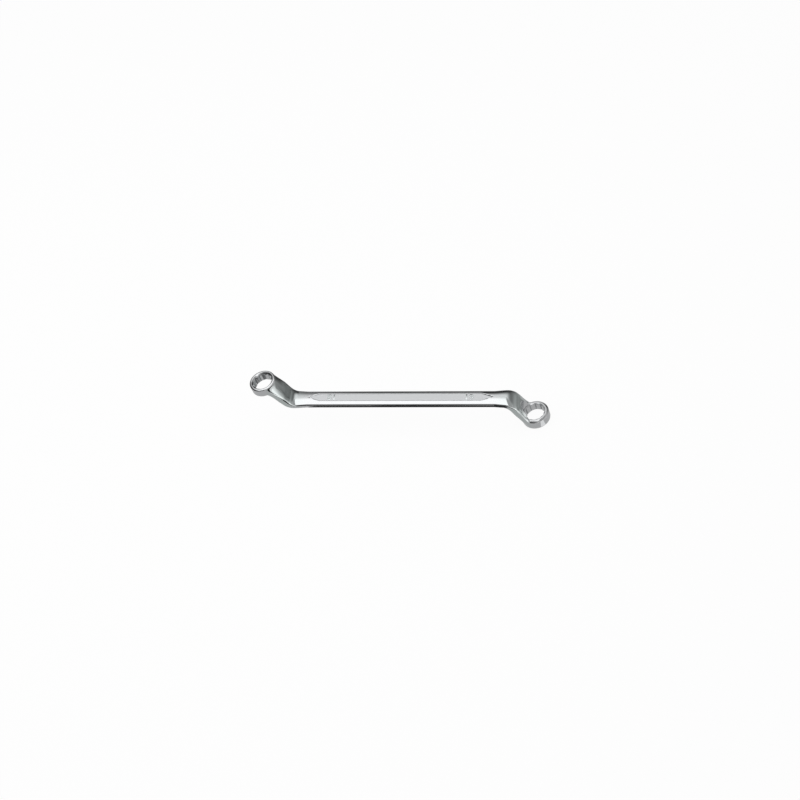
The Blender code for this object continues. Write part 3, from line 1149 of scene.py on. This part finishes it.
# The round screen's bands, as round_paint takes them
screen_bands = (
    (0.0, 0.0, (
        (-180, 0.04), (-172, 0.04), (-160, 0.35), (-145, 0.4), (-130, 0.06), (-100, 0.05),
        (-62, 0.04), (-4, 0.04), (6, 1.1), (20, 1.5), (60, 1.5), (75, 1.2), (95, 0.75), (112, 0.56),
        (126, 0.44), (140, 0.16), (155, 0.06), (180, 0.04))),
    (0.18, 0.55, (
        (-180, 0.05), (-169, 0.06), (-157, 0.6), (-140, 0.6), (-125, 0.1), (-90, 0.05), (-45, 0.1),
        (-20, 0.05), (-4, 0.05), (10, 0.25), (30, 0.42), (60, 0.5), (90, 0.5), (115, 0.45),
        (130, 0.26), (150, 0.1), (180, 0.05))),
    (0.66, 1.5, (
        (-180, 1.1), (-140, 0.8), (-90, 0.6), (-45, 0.5), (-10, 0.45), (10, 0.45), (45, 0.6),
        (90, 0.7), (130, 0.9), (150, 1.3), (165, 1.1), (180, 1.1))),
)


class SPANNER_OT_stage(bpy.types.Operator):
    """Build the floor, what the chrome mirrors and the camera"""

    bl_idname = "spanner.stage"
    bl_label = "Build Stage"

    def execute(self, context):
        scene = context.scene
        world = bpy.data.worlds.new("studio")
        scene.world = world
        world.use_nodes = True
        tree = world.node_tree
        strength, less_on_matt = 1.0, -0.5
        matt_seen = made(tree, "LightPath", {}).outputs["Is Diffuse Ray"]
        feed(tree, tree.nodes["Background"], {
            "Color": (1.0, 1.0, 1.0, 1.0),
            "Strength": arithmetic(tree, "MULTIPLY_ADD", matt_seen, less_on_matt, strength)})
        low = -scene.spanner_sizes.overall_height / 2
        white = seen_white("floor paint", colour=(0.85, 0.85, 0.85, 1.0), share=0.95)
        plain_board("floor", (8.0, 8.0), (0.0, 0.0, low), 0.0, white)
        boards = [
            plain_board(name, size, (*middle, low + lifts * mat_lift), radians(turn), board_paint(
                name.replace("_", " ") + " paint", stops))
            for name, size, middle, lifts, turn, stops in mats]
        roof_height, screen_radius, screen_height = 0.8, 1.2, 1.42
        boards.append(round_screen(
            "round_screen", screen_radius, low, screen_height,
            round_paint("round screen paint", screen_bands)))
        boards.append(plain_board(
            "side_roof", (0.58, 1.3), (0.61, 0.0, roof_height), 0.0,
            board_paint("side roof paint", 0.45)))
        for board in boards:
            board.visible_diffuse = False
            board.visible_shadow = False
        boards.append(plain_board(
            "top_screen", (1.22, 1.3), (-0.29, 0.0, roof_height), 0.0, board_paint(
                "top screen paint", ((0.0, 1.0), (0.14, 1.6), (0.86, 1.6), (1.0, 1.0)))))
        for board in boards:
            board.visible_camera = False
        lens = bpy.data.cameras.new("camera")
        camera = shown("camera", lens)
        scene.camera = camera
        right = Vector((0.9922, 0.0768, -0.0982))
        up = Vector((0.0024, 0.7757, 0.6311))
        back = Vector((0.1246, -0.6264, 0.7695))
        distance, focal_length = 1.7608, 76.06
        picture_width, shift_right, shift_up = 800, -0.29, -0.73
        matrix = Matrix((right, up, back)).transposed().to_4x4()
        matrix.translation = back * distance
        camera.matrix_world = matrix
        lens.lens = focal_length
        lens.shift_x = shift_right / picture_width
        lens.shift_y = shift_up / picture_width
        scene.view_settings.view_transform = "Standard"
        return {"FINISHED"}


class SPANNER_PT_panel(bpy.types.Panel):
    """Sizes and build buttons in the sidebar"""

    bl_label = "Ring Spanner"
    bl_idname = "SPANNER_PT_panel"
    bl_space_type = "VIEW_3D"
    bl_region_type = "UI"
    bl_category = "Spanner"

    def draw(self, context):
        layout = self.layout
        for settings in (context.scene.spanner_sizes, context.scene.spanner_finish):
            for name in settings.bl_rna.properties.keys():
                if name not in ("rna_type", "name"):
                    layout.prop(settings, name)
        layout.operator("spanner.skin")
        layout.operator("spanner.numbers")
        layout.operator("spanner.stage")


classes = (
    SpannerSizes, SpannerFinish, SPANNER_OT_skin, SPANNER_OT_numbers, SPANNER_OT_stage,
    SPANNER_PT_panel)


def register():
    for item in classes:
        bpy.utils.register_class(item)
    bpy.types.Scene.spanner_sizes = bpy.props.PointerProperty(type=SpannerSizes)
    bpy.types.Scene.spanner_finish = bpy.props.PointerProperty(type=SpannerFinish)


def unregister():
    del bpy.types.Scene.spanner_finish
    del bpy.types.Scene.spanner_sizes
    for item in reversed(classes):
        bpy.utils.unregister_class(item)


def main():
    register()
    bpy.ops.spanner.skin()
    bpy.ops.spanner.numbers()
    bpy.ops.spanner.stage()


if __name__ == "__main__":
    main()
